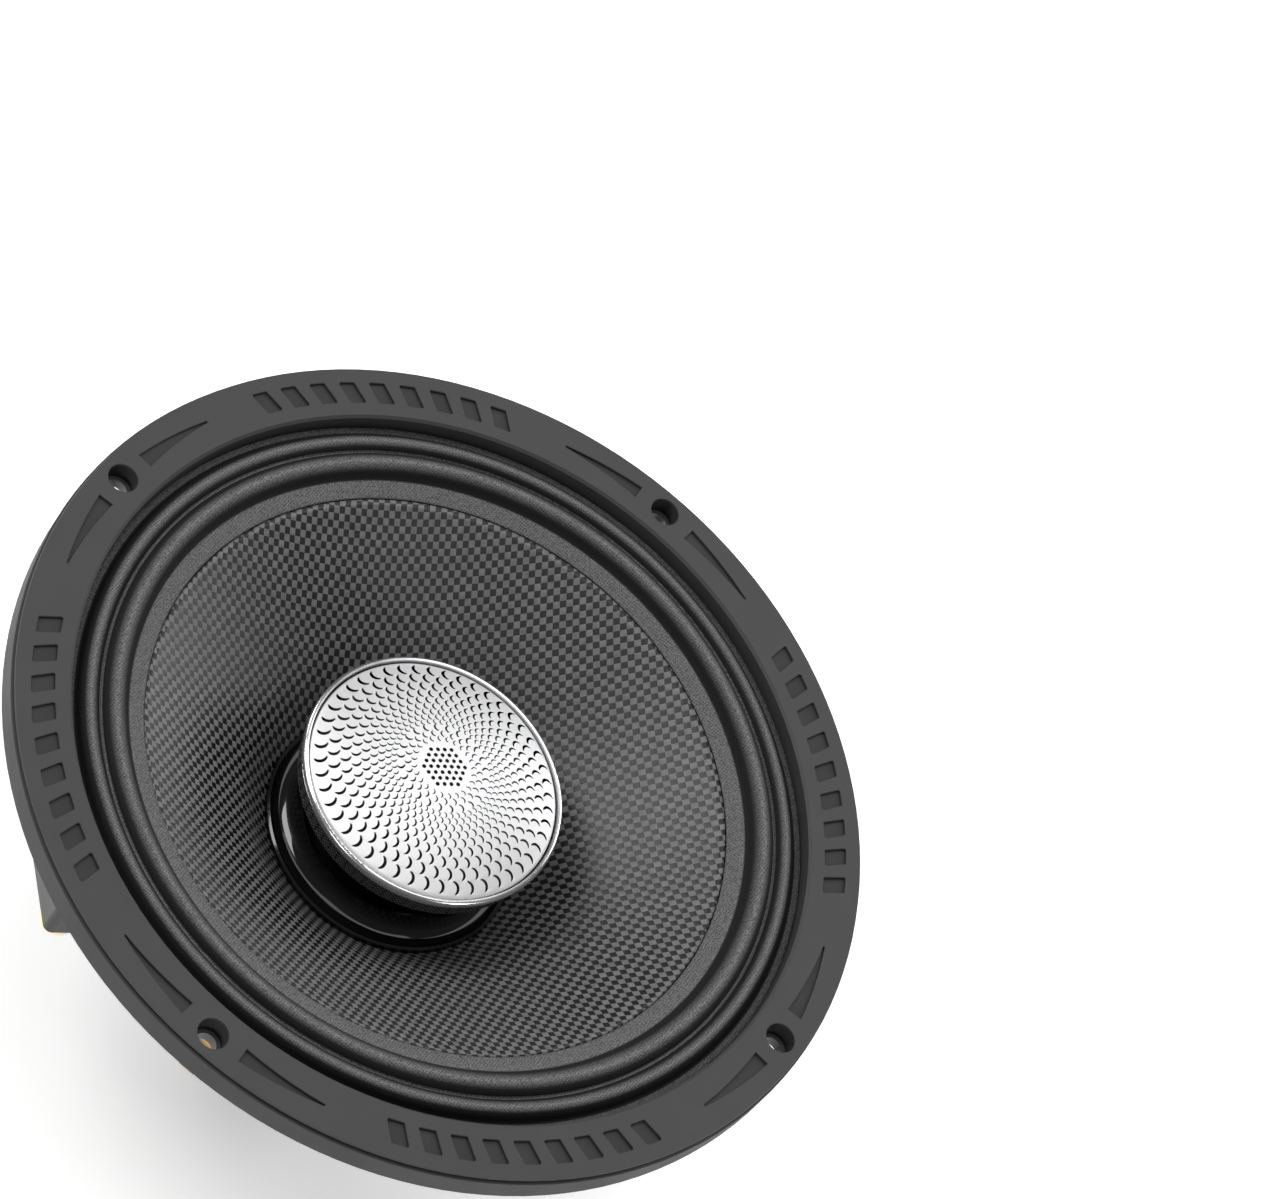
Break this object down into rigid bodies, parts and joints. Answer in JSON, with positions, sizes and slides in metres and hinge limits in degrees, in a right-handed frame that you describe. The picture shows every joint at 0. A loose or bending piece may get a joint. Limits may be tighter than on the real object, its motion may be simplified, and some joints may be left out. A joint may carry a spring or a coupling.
{
  "type": "coaxial car speaker",
  "caption": "Two-way coaxial car loudspeaker: woven cone with a double cloth surround, a tweeter head under a louvred silver grille, cast basket with gold strips.",
  "frame": {"origin": "centre of the mounting face under the flange", "axes": "+Z along the speaker axis, out of the cone; the terminal block is on the -X side"},
  "size_m": [0.165, 0.165, 0.083],
  "materials": {
    "basket_casting": "satin",
    "trim_rubber": "matte",
    "accent_gold": "satin",
    "surround_cloth": "matte",
    "cone_weave": "satin",
    "gloss_black": "gloss",
    "former_foil": "matte",
    "coil_copper": "satin",
    "spider_cloth": "matte",
    "tinsel_copper": "satin",
    "motor_black": "gloss",
    "ferrite": "matte",
    "aluminium_bare": "satin",
    "mesh_black": "matte",
    "bezel_chrome": "polished",
    "grille_silver": "satin",
    "satin_black_plastic": "satin",
    "diaphragm_foil": "satin",
    "steel_plated": "satin",
    "contact_gold": "polished",
    "block_plastic": "satin"
  },
  "bodies": {
    "frame": {"accent_strip_1": "accent_gold", "accent_strip_2": "accent_gold", "accent_strip_3": "accent_gold", "accent_strip_4": "accent_gold", "basket": "basket_casting", "blade_base_back": "gloss_black", "blade_base_front": "gloss_black", "cover_bosses": "satin_black_plastic", "ferrite_magnet": "ferrite", "hf_blade_back": "contact_gold", "hf_blade_front": "contact_gold", "hf_edge": "surround_cloth", "hf_magnet": "steel_plated", "hf_phase_plug": "satin_black_plastic", "hf_pole_disc": "steel_plated", "hf_spacer": "satin_black_plastic", "hf_yoke": "steel_plated", "lug_rivets": "tinsel_copper", "magnet_cover_lower": "gloss_black", "magnet_cover_upper": "motor_black", "pole_yoke": "motor_black", "post_nuts": "steel_plated", "post_sleeve_left": "contact_gold", "post_sleeve_right": "contact_gold", "post_studs": "contact_gold", "rear_cover": "gloss_black", "shorting_ring": "aluminium_bare", "solder_lugs": "contact_gold", "spider": "spider_cloth", "surround": "surround_cloth", "terminal_block": "block_plastic", "terminal_bracket": "satin_black_plastic", "throat_horn": "satin_black_plastic", "throat_tube": "aluminium_bare", "tinsel_lead_left": "tinsel_copper", "tinsel_lead_right": "tinsel_copper", "top_plate": "motor_black", "trim_ring": "trim_rubber", "tweeter_bezel": "bezel_chrome", "tweeter_grille": "grille_silver", "tweeter_stem": "gloss_black", "tweeter_vent_band": "mesh_black"},
    "cone_assembly": {"cone": "cone_weave", "cone_collar": "gloss_black", "coil_former": "former_foil", "voice_coil": "coil_copper"},
    "hf_dome_assembly": {"hf_diaphragm": "diaphragm_foil", "hf_voice_coil": "coil_copper"},
    "clamp_left": {"clamp_pin_left": "contact_gold"},
    "thumb_left": {"thumb_nut_left": "contact_gold"},
    "clamp_right": {"clamp_pin_right": "contact_gold"},
    "thumb_right": {"thumb_nut_right": "contact_gold"}
  },
  "joints": [
    {"name": "cone_travel", "type": "slide", "parent": "frame", "child": "cone_assembly", "axis": [0, 0, 1], "range_m": [-0.004, 0.004], "stiffness_N_per_m": 1700, "deforming": ["surround", "spider", "tinsel_lead_left", "tinsel_lead_right"]},
    {"name": "hf_dome_travel", "type": "slide", "parent": "frame", "child": "hf_dome_assembly", "axis": [0, 0, 1], "range_m": [-0.0002, 0.0002], "stiffness_N_per_m": 2500, "deforming": ["hf_edge"]},
    {"name": "clamp_left_slide", "type": "slide", "parent": "frame", "child": "clamp_left", "axis": [0, 0, -1], "range_m": [0, 0.0021]},
    {"name": "thumb_left_turn", "type": "hinge", "parent": "clamp_left", "child": "thumb_left", "pos_m": [-0.0601, 0.00975, -0.0404], "axis": [0, 0, -1], "range_deg": [0, 1086]},
    {"name": "clamp_right_slide", "type": "slide", "parent": "frame", "child": "clamp_right", "axis": [0, 0, -1], "range_m": [0, 0.0021]},
    {"name": "thumb_right_turn", "type": "hinge", "parent": "clamp_right", "child": "thumb_right", "pos_m": [-0.0601, -0.00975, -0.0404], "axis": [0, 0, -1], "range_deg": [0, 1086]}
  ],
  "couplings": [
    {"joint": "thumb_left_turn", "follows": "clamp_left_slide", "rad_per_m": 8976},
    {"joint": "thumb_right_turn", "follows": "clamp_right_slide", "rad_per_m": 8976}
  ]
}
